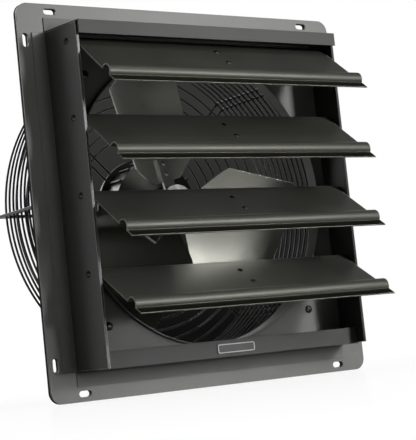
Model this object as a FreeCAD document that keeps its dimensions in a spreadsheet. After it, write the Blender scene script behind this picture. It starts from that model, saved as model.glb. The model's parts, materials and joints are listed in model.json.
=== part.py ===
import FreeCAD, Part
import math
import os
import Sketcher

# Wall-mounted exhaust fan with four gravity louvres in front and a wire guard behind.
# X runs across the fan, the louvres face -Y, the guard faces +Y and Z is up.
# The origin is the middle of the mounting face, which is the back of the gasket.

# Driving dimensions: name, value in millimetres or degrees, meaning
SIZES = [
    ("plate_side", 420.0, "width and height of the mounting plate"),
    ("plate_corner", 13.0, "corner radius of plate and gasket"),
    ("plate_sheet", 2.0, "thickness of the mounting plate"),
    ("gasket_sheet", 4.0, "thickness of the foam gasket"),
    ("gasket_border", 19.0, "width of the gasket's border"),
    ("slot_corner_distance", 40.0, "slot centre from the plate's corner, along its edge"),
    ("slot_inset", 8.2, "slot centre from the plate's edge"),
    ("slot_length", 15.0, "overall length of a slot"),
    ("slot_width", 6.5, "width of a slot"),
    ("opening_margin", 15.3, "air opening to the housing's side wall at the plate"),
    ("collar_sheet", 1.5, "wall of the collar round the opening"),
    ("collar_front", 4.0, "collar height in front of the plate"),
    ("collar_rear", 8.0, "collar height behind the plate"),
    ("housing_sheet", 1.2, "sheet thickness of the housing walls"),
    ("housing_side_margin", 30.7, "plate's edge to the housing's side wall"),
    ("housing_lean_width", 7.8, "side wall's lean inwards at its front"),
    ("housing_depth", 52.6, "depth of the side panels"),
    ("housing_end_margin", 30.5, "plate's edge to the housing's roof and floor"),
    ("flange_width", 15.0, "width of the flanges on the plate"),
    ("hem_width", 3.0, "width of the side panels' front hem"),
    ("hood_reach", 4.0, "hood lip ahead of the side panels"),
    ("hood_lip", 14.5, "height of the hood's front lip"),
    ("sill_lip", 18.5, "height of the sill's upright lip"),
    ("sill_gap", 1.0, "sill lip behind the louvre plane"),
    ("badge_width", 50.0, "width of the blank badge"),
    ("badge_height", 11.0, "height of the blank badge"),
    ("badge_sheet", 0.8, "thickness of the blank badge"),
    ("pivot_depth", 35.6, "louvre pivots in front of the plate"),
    ("pivot_drop", 18.5, "top pivot below the housing's roof"),
    ("pivot_floor_height", 17.3, "housing's floor to the end of the louvre rows"),
    ("pin_radius", 1.5, "radius of a pivot pin"),
    ("pin_head_radius", 3.6, "radius of a pivot pin's domed head"),
    ("pin_head_height", 2.0, "height of a pivot pin's domed head"),
    ("pin_tail", 1.5, "pin end past the louvre's ear"),
    ("spacer_radius", 3.6, "outside radius of a pivot spacer"),
    ("end_play", 0.3, "gap between a louvre's ear and its spacer"),
    ("fit_clearance", 0.05, "radial clearance of pins, shafts and bearings"),
    ("louvre_side_gap", 2.5, "louvre's end to the side panel's hem"),
    ("louvre_sheet", 1.2, "sheet thickness of a louvre"),
    ("louvre_lap", 12.2, "lip below the next pivot when the louvres hang straight"),
    ("louvre_head", 4.0, "panel above the pivot"),
    ("louvre_offset", 2.5, "panel in front of the pivot"),
    ("lip_width", 10.8, "flat lip below the stiffening bead"),
    ("bead_width", 17.0, "width of the stiffening bead"),
    ("bead_height", 7.2, "height of the stiffening bead"),
    ("ear_drop", 14.0, "length of an ear below the pivot"),
    ("ear_round", 4.0, "ear behind and above the pivot"),
    ("louvre_1_angle", 51.0, "top louvre from the vertical, at rest"),
    ("louvre_2_angle", 52.0, "second louvre from the vertical, at rest"),
    ("louvre_3_angle", 55.0, "third louvre from the vertical, at rest"),
    ("louvre_4_angle", 58.0, "bottom louvre from the vertical, at rest"),
    ("weight_width", 32.0, "width of a louvre's weight"),
    ("weight_margin", 6.0, "weight past its rivets"),
    ("weight_sheet", 3.0, "thickness of a louvre's weight"),
    ("louvre_rivet_side", 5.0, "rivets to the right of the middle"),
    ("louvre_rivet_distance", 17.5, "pivot to the upper rivet"),
    ("louvre_rivet_pitch", 25.5, "distance between the two rivets"),
    ("rivet_radius", 1.6, "radius of a rivet's shank"),
    ("rivet_head_radius", 3.2, "radius of a rivet's head"),
    ("rivet_head_height", 1.5, "height of a rivet's head"),
    ("guard_margin", 16.0, "air opening to the guard's side rings"),
    ("guard_depth", 115.0, "back of the guard behind the mounting face"),
    ("guard_wire", 1.25, "radius of the ring wire"),
    ("guard_pitch", 9.0, "distance between side rings"),
    ("guard_back_pitch", 13.0, "distance between back rings"),
    ("guard_back_inner_radius", 86.0, "radius without back rings round the motor"),
    ("weld_gap", 0.02, "hairline between wires that cross"),
    ("spoke_wire", 1.5, "radius of the spoke wire"),
    ("spoke_half_gap", 5.0, "half the distance between the wires of a pair"),
    ("spoke_bend", 2.6, "bend radius of a spoke wire"),
    ("spoke_inner_radius", 56.0, "radius where the spoke wires end"),
    ("foot_width", 18.0, "width of a guard foot"),
    ("foot_length", 22.0, "length of a guard foot"),
    ("foot_sheet", 2.0, "thickness of a guard foot"),
    ("guard_screw_margin", 10.5, "guard's side rings to the screws of its feet"),
    ("screw_radius", 2.5, "radius of a guard screw"),
    ("screw_head_radius", 4.6, "radius of a guard screw's head"),
    ("screw_head_height", 2.6, "height of a guard screw's head"),
    ("nut_height", 4.0, "height of a guard nut"),
    ("bar_sheet", 3.0, "thickness of a motor support bar"),
    ("bar_depth", 7.0, "depth of a motor support bar"),
    ("bar_inner_radius", 22.0, "radius where the support bars end"),
    ("motor_plate_radius", 62.0, "radius of the motor plate"),
    ("motor_plate_sheet", 3.0, "thickness of the motor plate"),
    ("motor_radius", 55.0, "outside radius of the motor"),
    ("motor_cover", 8.0, "thickness of the motor's rear cover"),
    ("motor_barrel", 21.0, "length of the motor's finned barrel"),
    ("motor_cone", 14.0, "length of the motor's front cone"),
    ("motor_neck", 8.0, "length of the motor's front neck"),
    ("motor_neck_radius", 22.0, "radius of the motor's front neck"),
    ("motor_wall", 4.0, "wall of the motor's bell"),
    ("fin_count", 20.0, "fins round the motor"),
    ("fin_height", 3.5, "height of a fin"),
    ("fin_sheet", 2.4, "thickness of a fin"),
    ("bearing_radius", 11.0, "outside radius of a bearing"),
    ("bearing_length", 7.0, "length of a bearing"),
    ("stator_wall", 18.0, "radial thickness of the stator"),
    ("air_gap", 0.6, "gap between stator and rotor"),
    ("core_length", 18.0, "length of stator and rotor core"),
    ("shaft_radius", 4.0, "radius of the motor shaft"),
    ("motor_screw_circle_radius", 38.0, "radius of the motor's screw circle"),
    ("gland_radius", 3.8, "radius of the cable gland"),
    ("gland_length", 9.0, "length of the cable gland"),
    ("hub_radius", 21.0, "radius of the fan's hub"),
    ("hub_length", 22.0, "length of the fan's hub"),
    ("hub_gap", 1.5, "hub to the motor's neck"),
    ("washer_sheet", 1.6, "thickness of the hub washer"),
    ("hub_nut_radius", 8.0, "corner radius of the hub nut"),
    ("hub_nut_height", 6.5, "height of the hub nut"),
    ("arm_half_width", 11.0, "half width of a spider arm"),
    ("arm_reach", 54.0, "length of a spider arm from the axis"),
    ("arm_sheet", 2.5, "thickness of a spider arm"),
    ("paddle_root", 27.0, "axis to a paddle's inner edge"),
    ("paddle_root_half", 28.0, "half width of a paddle at its inner edge"),
    ("paddle_shoulder", 45.0, "axis to a paddle's shoulders"),
    ("paddle_shoulder_half", 60.0, "half width of a paddle at its shoulders"),
    ("paddle_chamfer", 5.0, "cut corner at a paddle's shoulder"),
    ("paddle_tip_half", 68.0, "half width of a paddle at its tip"),
    ("tip_clearance", 7.0, "paddle tips to the air opening"),
    ("paddle_sheet", 1.5, "thickness of a paddle"),
    ("paddle_camber", 300.0, "radius of a paddle's curve"),
    ("paddle_angle", 22.0, "paddle's pitch against the fan plane, in degrees"),
    ("paddle_turn_angle", -17.0, "turn of the first paddle from the right, in degrees"),
    ("paddle_rivet_distance", 36.0, "axis to a paddle's first rivet"),
    ("paddle_rivet_pitch", 12.0, "distance between a paddle's rivets"),
]

LOUVRES = 4
PADDLES = 3
PADDLE_RIVETS = 2
DIAGONALS = (45.0, 135.0, 225.0, 315.0)
QUARTERS = (0.0, 90.0, 180.0, 270.0)

V = FreeCAD.Vector
X_AXIS = V(1, 0, 0)
Y_AXIS = V(0, 1, 0)
NO_TURN = FreeCAD.Rotation()

doc = FreeCAD.newDocument("shutter_exhaust_fan")
sheet = doc.addObject("Spreadsheet::Sheet", "sizes")
pieces = []


class Size:
    """A value that carries its number and the sheet formula that gives it."""

    def __init__(self, number, formula):
        self.number = number
        self.formula = formula

    def __float__(self):
        return self.number

    def __add__(self, other):
        other = as_size(other)
        return Size(self.number + other.number, f"({self.formula} + {other.formula})")

    def __sub__(self, other):
        other = as_size(other)
        return Size(self.number - other.number, f"({self.formula} - {other.formula})")

    def __mul__(self, other):
        other = as_size(other)
        return Size(self.number * other.number, f"({self.formula} * {other.formula})")

    def __truediv__(self, other):
        other = as_size(other)
        return Size(self.number / other.number, f"({self.formula} / {other.formula})")

    def __neg__(self):
        return Size(-self.number, f"(0 - {self.formula})")

    def root(self):
        return Size(math.sqrt(self.number), f"sqrt({self.formula})")

    def angle_from(self, base):
        ratio = self / base
        return Size(math.degrees(math.atan(ratio.number)), f"(atan({ratio.formula}) / 1 deg)")


def as_size(value):
    if isinstance(value, Size):
        return value
    return Size(float(value), repr(float(value)))


class Sheet:
    """The named sizes, filled into the spreadsheet row by row."""

    def __init__(self, rows):
        for row, (name, number, meaning) in enumerate(rows, 1):
            sheet.set(f"A{row}", meaning)
            sheet.set(f"B{row}", str(number))
            sheet.setAlias(f"B{row}", name)
            setattr(self, name, Size(number, f"sizes.{name}"))
        doc.recompute()


S = Sheet(SIZES)
ZERO = as_size(0)

# Places that several pieces share
plate_back = -S.gasket_sheet
plate_front = plate_back - S.plate_sheet
housing_front = plate_front - S.housing_depth
housing_rear_half = S.plate_side / 2 - S.housing_side_margin
housing_front_half = housing_rear_half - S.housing_lean_width
housing_half_height = S.plate_side / 2 - S.housing_end_margin
orifice_radius = housing_rear_half - S.opening_margin
taper = S.housing_lean_width / S.housing_depth
taper_angle = S.housing_lean_width.angle_from(S.housing_depth)
panel_wall = S.housing_sheet * (taper * taper + 1).root()
pivot_y = plate_front - S.pivot_depth
pivot_top = housing_half_height - S.pivot_drop
pivot_pitch = (pivot_top + housing_half_height - S.pivot_floor_height) / LOUVRES
panel_at_pivot = housing_rear_half - taper * S.pivot_depth
inner_height = housing_half_height - S.housing_sheet
louvre_half_width = housing_front_half - S.hem_width - S.louvre_side_gap
louvre_reach = pivot_pitch + S.louvre_lap
bead_start = louvre_reach - S.lip_width - S.bead_width
rivet_drops = (S.louvre_rivet_distance, S.louvre_rivet_distance + S.louvre_rivet_pitch)
pin_bore = S.pin_radius + S.fit_clearance
shaft_bore = S.shaft_radius + S.fit_clearance
bearing_bore = S.bearing_radius + S.fit_clearance
guard_radius = orifice_radius + S.guard_margin
guard_screw_circle = guard_radius + S.guard_screw_margin
tip_radius = orifice_radius - S.tip_clearance
spoke_circle = guard_radius + S.guard_wire + S.spoke_wire + S.weld_gap
guard_rear = S.guard_depth + S.guard_wire
motor_plate_front = guard_rear - S.motor_plate_sheet
motor_cover_front = motor_plate_front - S.motor_cover
barrel_front = motor_cover_front - S.motor_barrel
cone_front = barrel_front - S.motor_cone
neck_front = cone_front - S.motor_neck
hub_back = neck_front - S.hub_gap
hub_front = hub_back - S.hub_length
fan_plane = hub_front + S.hub_length / 2
stator_radius = S.motor_radius - S.motor_wall
foot_rear = plate_back + S.foot_sheet
through_cut = S.plate_side / 7


def pivot_z(index):
    return pivot_top - pivot_pitch * index


def bind(obj, prop, size):
    setattr(obj, prop, float(size))
    obj.setExpression(prop, as_size(size).formula)


def place(obj, x=0, y=0, z=0, turn=NO_TURN, axis=None, angle=None):
    """Puts an object in its place, turned by a fixed turn or by a named angle about an axis."""
    if axis is not None:
        turn = FreeCAD.Rotation(axis, float(angle))
    obj.Placement = FreeCAD.Placement(V(float(x), float(y), float(z)), turn)
    for letter, size in (("x", x), ("y", y), ("z", z)):
        if isinstance(size, Size):
            obj.setExpression(f"Placement.Base.{letter}", size.formula)
    if axis is not None:
        obj.setExpression("Placement.Rotation.Angle", angle.formula)
    return obj


def polar_turn(degrees):
    """Turn about Y that takes +X to the given angle above +X, towards +Z."""
    return FreeCAD.Rotation(Y_AXIS, -degrees)


def finish(obj, name):
    obj.Label = name
    pieces.append(obj)
    return obj


def new_body(name):
    return doc.addObject("PartDesign::Body", name)


def origin_feature(body, role):
    return next(item for item in body.Origin.OriginFeatures if item.Role == role)


def pin_point(sketch, geometry, position, x, y):
    """Ties a sketch point to its two formulas."""
    for kind, size in (("DistanceX", as_size(x)), ("DistanceY", as_size(y))):
        tie = Sketcher.Constraint(kind, -1, 1, geometry, position, size.number)
        index = sketch.addConstraint(tie)
        sketch.setExpression(f"Constraints[{index}]", size.formula)


def short_arc(start, end, centre):
    """The shorter arc between two points, always drawn anticlockwise."""
    circle = Part.Circle(centre, V(0, 0, 1), (start - centre).Length)
    first = math.atan2(start.y - centre.y, start.x - centre.x)
    sweep = math.atan2(end.y - centre.y, end.x - centre.x) - first
    sweep = (sweep + math.pi) % (2 * math.pi) - math.pi
    return Part.ArcOfCircle(circle, min(first, first + sweep), max(first, first + sweep)), sweep > 0


def draw_outline(sketch, corners, arcs):
    """Closed outline through corners. arcs gives the centre for a corner's next edge."""
    points = [V(float(x), float(y), 0) for x, y in corners]
    count = len(points)
    first = sketch.GeometryCount
    ends = []
    for i in range(count):
        start, end = points[i], points[(i + 1) % count]
        if i in arcs:
            centre = V(float(arcs[i][0]), float(arcs[i][1]), 0)
            arc, forward = short_arc(start, end, centre)
            sketch.addGeometry(arc, False)
            ends.append((1, 2) if forward else (2, 1))
        else:
            sketch.addGeometry(Part.LineSegment(start, end), False)
            ends.append((1, 2))
    for i in range(count):
        after = (i + 1) % count
        sketch.addConstraint(
            Sketcher.Constraint("Coincident", first + i, ends[i][1], first + after, ends[after][0]))
    for i, (x, y) in enumerate(corners):
        pin_point(sketch, first + i, ends[i][0], x, y)
    for i, (x, y) in arcs.items():
        run = points[(i + 1) % count] - points[i]
        kind, size = ("DistanceX", x) if abs(run.x) < abs(run.y) else ("DistanceY", y)
        size = as_size(size)
        index = sketch.addConstraint(Sketcher.Constraint(kind, -1, 1, first + i, 3, size.number))
        sketch.setExpression(f"Constraints[{index}]", size.formula)


def draw_circle(sketch, x, y, radius):
    circle = Part.Circle(V(float(x), float(y), 0), V(0, 0, 1), float(radius))
    index = sketch.addGeometry(circle, False)
    pin_point(sketch, index, 3, x, y)
    tie = sketch.addConstraint(Sketcher.Constraint("Radius", index, float(radius)))
    sketch.setExpression(f"Constraints[{tie}]", as_size(radius).formula)


def new_sketch(body, plane, corners=(), arcs=None, circles=(), offset=None):
    """Sketch on one of the body's own planes, moved along its normal by offset."""
    sketch = body.newObject("Sketcher::SketchObject", body.Name + "_outline")
    sketch.AttachmentSupport = [(origin_feature(body, plane), "")]
    sketch.MapMode = "FlatFace"
    if offset is not None:
        sketch.AttachmentOffset = FreeCAD.Placement(V(0, 0, float(offset)), NO_TURN)
        sketch.setExpression("AttachmentOffset.Base.z", as_size(offset).formula)
    if corners:
        draw_outline(sketch, corners, arcs or {})
    for circle in circles:
        draw_circle(sketch, *circle)
    return sketch


def pad(body, sketch, length, side="One side", reverse=False):
    feature = body.newObject("PartDesign::Pad", body.Name + "_pad")
    feature.Profile = sketch
    feature.SideType = side
    feature.Reversed = reverse
    bind(feature, "Length", length)
    doc.recompute()
    return feature


def revolve(body, corners, arcs=None):
    """Solid of revolution about the body's Y axis. Corners are radius and Y."""
    sketch = new_sketch(body, "XY_Plane", corners, arcs)
    feature = body.newObject("PartDesign::Revolution", body.Name + "_turned")
    feature.Profile = sketch
    feature.ReferenceAxis = (origin_feature(body, "Y_Axis"), [""])
    feature.Angle = 360
    doc.recompute()
    return feature


def round_corners(body, feature, radius):
    """Rounds the edges of a flat sheet that run through its thickness."""
    edges = []
    for number, edge in enumerate(feature.Shape.Edges, 1):
        straight = edge.Curve.TypeId == "Part::GeomLine"
        if straight and abs(edge.tangentAt(edge.FirstParameter).y) > 0.99:
            edges.append(f"Edge{number}")
    fillet = body.newObject("PartDesign::Fillet", body.Name + "_corners")
    fillet.Base = (feature, edges)
    bind(fillet, "Radius", radius)
    doc.recompute()
    return fillet


def cylinder(name, radius, height, x=0, y=0, z=0, turn=NO_TURN):
    obj = doc.addObject("Part::Cylinder", name)
    bind(obj, "Radius", radius)
    bind(obj, "Height", height)
    return place(obj, x, y, z, turn)


def boolean(kind, name, base, tool):
    obj = doc.addObject(f"Part::{kind}", name)
    obj.Base = base
    obj.Tool = tool
    return obj


def group(name, members):
    obj = doc.addObject("Part::Compound", name)
    obj.Links = members
    return obj


def rectangle(half_x, half_y):
    return [(-half_x, -half_y), (half_x, -half_y), (half_x, half_y), (-half_x, half_y)]


def domed_pin(name, head_radius, head_height, shank_radius, shank_length):
    """Domed head on -Y above the seat at Y = 0, with a shank that runs along +Y."""
    dome = (head_radius * head_radius + head_height * head_height) / (head_height * 2)
    body = new_body(name)
    corners = [
        (ZERO, -head_height),
        (head_radius, ZERO),
        (shank_radius, ZERO),
        (shank_radius, shank_length),
        (ZERO, shank_length),
    ]
    revolve(body, corners, {0: (ZERO, dome - head_height)})
    return body


# Turns that lay a cylinder's own Z axis along the part's axes
ALONG_Y = FreeCAD.Rotation(X_AXIS, -90)
ALONG_X = FreeCAD.Rotation(Y_AXIS, 90)


def slot_cutters():
    """The eight mounting slots and the guard's screw holes, long enough for plate and gasket."""
    along = S.plate_side / 2 - S.slot_corner_distance
    across = S.plate_side / 2 - S.slot_inset
    reach = (S.slot_length - S.slot_width) / 2
    cutters = []
    for sign_x in (-1, 1):
        for sign_z in (-1, 1):
            lying = (along * sign_x, across * sign_z, reach, ZERO)
            upright = (across * sign_x, along * sign_z, ZERO, reach)
            for x, z, run_x, run_z in (lying, upright):
                cutters += slot(len(cutters), x, z, run_x, run_z)
    for angle in DIAGONALS:
        x, z = polar_point(guard_screw_circle, angle)
        bore = S.screw_radius + S.fit_clearance
        name = f"screw_hole_{int(angle)}"
        cutters.append(cylinder(name, bore, through_cut, x, -through_cut / 2, z, ALONG_Y))
    return group("plate_cutters", cutters)


def polar_point(radius, angle):
    return radius * math.cos(math.radians(angle)), radius * math.sin(math.radians(angle))


def slot(number, x, z, run_x, run_z):
    """Two round ends and the block between them."""
    radius = S.slot_width / 2
    half_x = run_x if float(run_x) else radius
    half_z = run_z if float(run_z) else radius
    block = doc.addObject("Part::Box", f"slot_{number}_block")
    bind(block, "Length", half_x * 2)
    bind(block, "Height", half_z * 2)
    bind(block, "Width", through_cut)
    place(block, x - half_x, -through_cut / 2, z - half_z)
    ends = [block]
    for sign in (-1, 1):
        end_x, end_z = x + run_x * sign, z + run_z * sign
        name = f"slot_{number}_end_{sign + 1}"
        ends.append(cylinder(name, radius, through_cut, end_x, -through_cut / 2, end_z, ALONG_Y))
    fused = doc.addObject("Part::MultiFuse", f"slot_{number}")
    fused.Shapes = ends
    return [fused]


def make_plate(cutters):
    body = new_body("plate_blank")
    half = S.plate_side / 2
    hole = [(ZERO, ZERO, orifice_radius)]
    face = pad(body, new_sketch(body, "XZ_Plane", rectangle(half, half), circles=hole), S.plate_sheet)
    round_corners(body, face, S.plate_corner)
    ring = [(ZERO, ZERO, orifice_radius), (ZERO, ZERO, orifice_radius + S.collar_sheet)]
    pad(body, new_sketch(body, "XZ_Plane", circles=ring), S.collar_rear, reverse=True)
    pad(body, new_sketch(body, "XZ_Plane", circles=ring), S.plate_sheet + S.collar_front)
    place(body, y=plate_back)
    finish(boolean("Cut", "plate_cut", body, cutters), "mounting_plate")


def make_gasket(cutters):
    body = new_body("gasket_blank")
    half = S.plate_side / 2
    inner = half - S.gasket_border
    sketch = new_sketch(body, "XZ_Plane", rectangle(half, half))
    solid = round_corners(body, pad(body, sketch, S.gasket_sheet), S.plate_corner)
    window = body.newObject("PartDesign::Pocket", "gasket_window")
    window.Profile = new_sketch(body, "XZ_Plane", rectangle(inner, inner))
    window.Type = "ThroughAll"
    window.Reversed = False
    doc.recompute()
    if abs(window.Shape.Volume - solid.Shape.Volume) < 1:
        window.Reversed = True
        doc.recompute()
    finish(boolean("Cut", "gasket_cut", body, cutters), "wall_gasket")


def make_side_panel(side, name):
    """Flange on the plate, tapered wall and front hem, bent from one sheet."""
    body = new_body(f"{name}_sheet")
    flange_front = plate_front - S.housing_sheet
    hem_back = housing_front + S.housing_sheet
    corners = [
        (housing_rear_half + S.flange_width, plate_front),
        (housing_rear_half + S.flange_width, flange_front),
        (housing_rear_half - taper * S.housing_sheet, flange_front),
        (housing_front_half, housing_front),
        (housing_front_half - S.hem_width, housing_front),
        (housing_front_half - S.hem_width, hem_back),
        (housing_front_half + taper * S.housing_sheet - panel_wall, hem_back),
        (housing_rear_half - panel_wall, plate_front),
    ]
    corners = [(x * side, y) for x, y in corners]
    pad(body, new_sketch(body, "XY_Plane", corners), inner_height * 2, side="Symmetric")
    holes = []
    for i in range(LOUVRES):
        start = panel_at_pivot * side - through_cut / 2
        hole = cylinder(f"{name}_hole_{i}", pin_bore, through_cut, start, pivot_y, pivot_z(i), ALONG_X)
        holes.append(hole)
    finish(boolean("Cut", f"{name}_cut", body, group(f"{name}_holes", holes)), name)


def housing_plan():
    """Prism over the housing's tapered plan, which trims the hood and the sill."""
    body = new_body("housing_plan")
    front = housing_front - S.hood_reach - S.housing_sheet
    front_half = housing_front_half - taper * (S.hood_reach + S.housing_sheet)
    corners = [
        (-housing_rear_half, plate_front),
        (-front_half, front),
        (front_half, front),
        (housing_rear_half, plate_front),
    ]
    pad(body, new_sketch(body, "XY_Plane", corners), S.plate_side * 2, side="Symmetric")
    return body


def make_hood(plan):
    """Top flange, roof and front lip in one profile across the housing."""
    body = new_body("hood_profile")
    sheet_size = S.housing_sheet
    top = housing_half_height
    lip_front = housing_front - S.hood_reach - sheet_size
    corners = [
        (plate_front, top - sheet_size),
        (plate_front, top + S.flange_width),
        (plate_front - sheet_size, top + S.flange_width),
        (plate_front - sheet_size, top),
        (lip_front, top),
        (lip_front, top - S.hood_lip),
        (lip_front + sheet_size, top - S.hood_lip),
        (lip_front + sheet_size, top - sheet_size),
    ]
    pad(body, new_sketch(body, "YZ_Plane", corners), housing_rear_half * 2, side="Symmetric")
    finish(boolean("Common", "hood_trim", body, plan), "top_rail")


sill_front = pivot_y - S.louvre_offset + S.louvre_sheet / 2 + S.sill_gap


def make_sill(plan):
    """Bottom flange, floor and the upright lip that the bottom louvre closes on."""
    body = new_body("sill_profile")
    sheet_size = S.housing_sheet
    bottom = -housing_half_height
    corners = [
        (plate_front, bottom + sheet_size),
        (plate_front, bottom - S.flange_width),
        (plate_front - sheet_size, bottom - S.flange_width),
        (plate_front - sheet_size, bottom),
        (sill_front, bottom),
        (sill_front, bottom + S.sill_lip),
        (sill_front + sheet_size, bottom + S.sill_lip),
        (sill_front + sheet_size, bottom + sheet_size),
    ]
    pad(body, new_sketch(body, "YZ_Plane", corners), housing_rear_half * 2, side="Symmetric")
    trimmed = boolean("Common", "sill_trim", body, plan)
    inside = new_body("sill_inside")
    inside_rear = housing_rear_half - S.housing_sheet * 2
    inside_front = inside_rear - taper * S.housing_depth
    corners = [
        (-inside_rear, plate_front),
        (-inside_front, housing_front),
        (inside_front, housing_front),
        (inside_rear, plate_front),
    ]
    pad(inside, new_sketch(inside, "XY_Plane", corners), S.plate_side)
    floor = doc.addObject("Part::Box", "sill_floor_zone")
    bind(floor, "Length", S.plate_side * 2)
    bind(floor, "Width", S.plate_side)
    bind(floor, "Height", S.plate_side)
    place(floor, -S.plate_side, plate_front - S.plate_side, bottom + sheet_size - S.plate_side)
    place(inside, z=bottom)
    zone = boolean("Fuse", "sill_zone", inside, floor)
    finish(boolean("Common", "sill_fit", trimmed, zone), "bottom_rail")


def make_badge():
    badge = doc.addObject("Part::Box", "badge")
    bind(badge, "Length", S.badge_width)
    bind(badge, "Width", S.badge_sheet)
    bind(badge, "Height", S.badge_height)
    middle = -housing_half_height + S.sill_lip / 2
    place(badge, -S.badge_width / 2, sill_front - S.badge_sheet, middle - S.badge_height / 2)
    finish(badge, "badge_plate")


def make_pivots(side, name):
    """Pins through the side panel, with a spacer between the panel and each louvre."""
    pins = []
    spacers = []
    inner_end = louvre_half_width - S.louvre_sheet - S.pin_tail
    outer_end = panel_at_pivot + S.pin_head_height / 2
    spacer_out = panel_at_pivot - panel_wall - taper * S.spacer_radius - S.fit_clearance
    spacer_in = louvre_half_width + S.end_play
    for i in range(LOUVRES):
        head = domed_pin(f"{name}_head_{i}", S.pin_head_radius, S.pin_head_height,
                         S.pin_radius, S.pin_radius / 4)
        lean = -taper_angle + 90
        place(head, panel_at_pivot * side, pivot_y, pivot_z(i), axis=V(0, 0, side), angle=lean)
        length = outer_end - inner_end
        start = inner_end if side > 0 else -outer_end
        shank = cylinder(f"{name}_shank_{i}", S.pin_radius, length, start, pivot_y, pivot_z(i), ALONG_X)
        pins.append(boolean("Fuse", f"{name}_pin_{i}", head, shank))
        run = spacer_out - spacer_in
        start = spacer_in if side > 0 else -spacer_out
        tube = cylinder(f"{name}_tube_{i}", S.spacer_radius, run, start, pivot_y, pivot_z(i), ALONG_X)
        bore = cylinder(f"{name}_bore_{i}", pin_bore, run, start, pivot_y, pivot_z(i), ALONG_X)
        spacers.append(boolean("Cut", f"{name}_spacer_{i}", tube, bore))
    finish(group(f"{name}_pin_group", pins), f"pivot_pins_{name}")
    finish(group(f"{name}_spacer_group", spacers), f"pivot_spacers_{name}")


def louvre_profile():
    """Flat panel, round bead and lip, hanging down from the pivot at the origin."""
    front = -(S.louvre_offset + S.louvre_sheet / 2)
    rear = -(S.louvre_offset - S.louvre_sheet / 2)
    outer = (S.bead_width * S.bead_width / 4 + S.bead_height * S.bead_height) / (S.bead_height * 2)
    inner = outer - S.louvre_sheet
    depth = outer - S.bead_height - S.louvre_sheet
    centre_y = front - S.bead_height + outer
    centre_z = -(bead_start + S.bead_width / 2)
    inner_half = (inner * inner - depth * depth).root()
    corners = [
        (front, S.louvre_head),
        (front, -bead_start),
        (front, -(bead_start + S.bead_width)),
        (front, -louvre_reach),
        (rear, -louvre_reach),
        (rear, centre_z - inner_half),
        (rear, centre_z + inner_half),
        (rear, S.louvre_head),
    ]
    return corners, {1: (centre_y, centre_z), 5: (centre_y, centre_z)}


def ear_outline():
    front = -S.louvre_offset
    return [
        (front, S.ear_round),
        (S.ear_round / 2, S.ear_round),
        (S.ear_round, S.ear_round / 2),
        (S.ear_round, -S.ear_round),
        (front, -S.ear_drop),
    ]


def louvre_place(obj, index):
    """Hangs a louvre piece on its pivot, swung out to its resting angle."""
    angle = getattr(S, f"louvre_{index + 1}_angle")
    return place(obj, ZERO, pivot_y, pivot_z(index), axis=V(-1, 0, 0), angle=angle)


def rivet_cutters(name, bore):
    """Holes for the two rivets, square to a louvre's panel."""
    holes = []
    for row, drop in enumerate(rivet_drops):
        hole = cylinder(f"{name}_{row}", bore, through_cut / 3, S.louvre_rivet_side,
                        -through_cut / 6, -drop, ALONG_Y)
        holes.append(hole)
    return group(name, holes)


def make_louvre(index):
    name = f"louvre_{index + 1}"
    body = new_body(f"{name}_sheet")
    corners, arcs = louvre_profile()
    pad(body, new_sketch(body, "YZ_Plane", corners, arcs), louvre_half_width * 2, side="Symmetric")
    hole = [(ZERO, ZERO, pin_bore)]
    for start in (louvre_half_width - S.louvre_sheet, -louvre_half_width):
        sketch = new_sketch(body, "YZ_Plane", ear_outline(), circles=hole, offset=start)
        pad(body, sketch, S.louvre_sheet)
    bore = S.rivet_radius + S.fit_clearance
    panel = boolean("Cut", f"{name}_cut", body, rivet_cutters(f"{name}_holes", bore))
    finish(louvre_place(panel, index), name)

    block = doc.addObject("Part::Box", f"{name}_weight_block")
    weight_front = -(S.louvre_offset - S.louvre_sheet / 2)
    top = rivet_drops[0] - S.weight_margin
    low = rivet_drops[1] + S.weight_margin
    bind(block, "Length", S.weight_width)
    bind(block, "Width", S.weight_sheet)
    bind(block, "Height", low - top)
    place(block, S.louvre_rivet_side - S.weight_width / 2, weight_front, -low)
    weight = boolean("Cut", f"{name}_weight_cut", block, rivet_cutters(f"{name}_weight_holes", bore))
    finish(louvre_place(weight, index), f"louvre_weight_{index + 1}")

    rivets = []
    grip = S.louvre_sheet + S.weight_sheet
    for row, drop in enumerate(rivet_drops):
        head = domed_pin(f"{name}_rivet_{row}", S.rivet_head_radius, S.rivet_head_height,
                         S.rivet_radius, grip)
        place(head, S.louvre_rivet_side, weight_front - S.louvre_sheet, -drop)
        tail_y = weight_front + S.weight_sheet
        tail = cylinder(f"{name}_tail_{row}", S.rivet_head_radius, S.rivet_head_height / 2,
                        S.louvre_rivet_side, tail_y, -drop, ALONG_Y)
        rivets.append(boolean("Fuse", f"{name}_rivet_whole_{row}", head, tail))
    finish(louvre_place(group(f"{name}_rivet_group", rivets), index), f"louvre_rivets_{index + 1}")


def ring(name, radius, y):
    obj = doc.addObject("Part::Torus", name)
    bind(obj, "Radius1", radius)
    bind(obj, "Radius2", S.guard_wire)
    return place(obj, y=y, turn=ALONG_Y)


def make_guard_rings():
    first = plate_back + S.collar_rear
    side_count = int((float(S.guard_depth) - float(first)) / float(S.guard_pitch))
    sides = []
    for i in range(side_count):
        sides.append(ring(f"side_ring_{i}", guard_radius, S.guard_depth - S.guard_pitch * i))
    finish(group("side_ring_group", sides), "guard_side_rings")
    room = float(guard_radius) - float(S.guard_back_inner_radius)
    back_count = int(room / float(S.guard_back_pitch))
    backs = []
    for i in range(1, back_count + 1):
        backs.append(ring(f"back_ring_{i}", guard_radius - S.guard_back_pitch * i, S.guard_depth))
    finish(group("back_ring_group", backs), "guard_back_rings")


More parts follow.
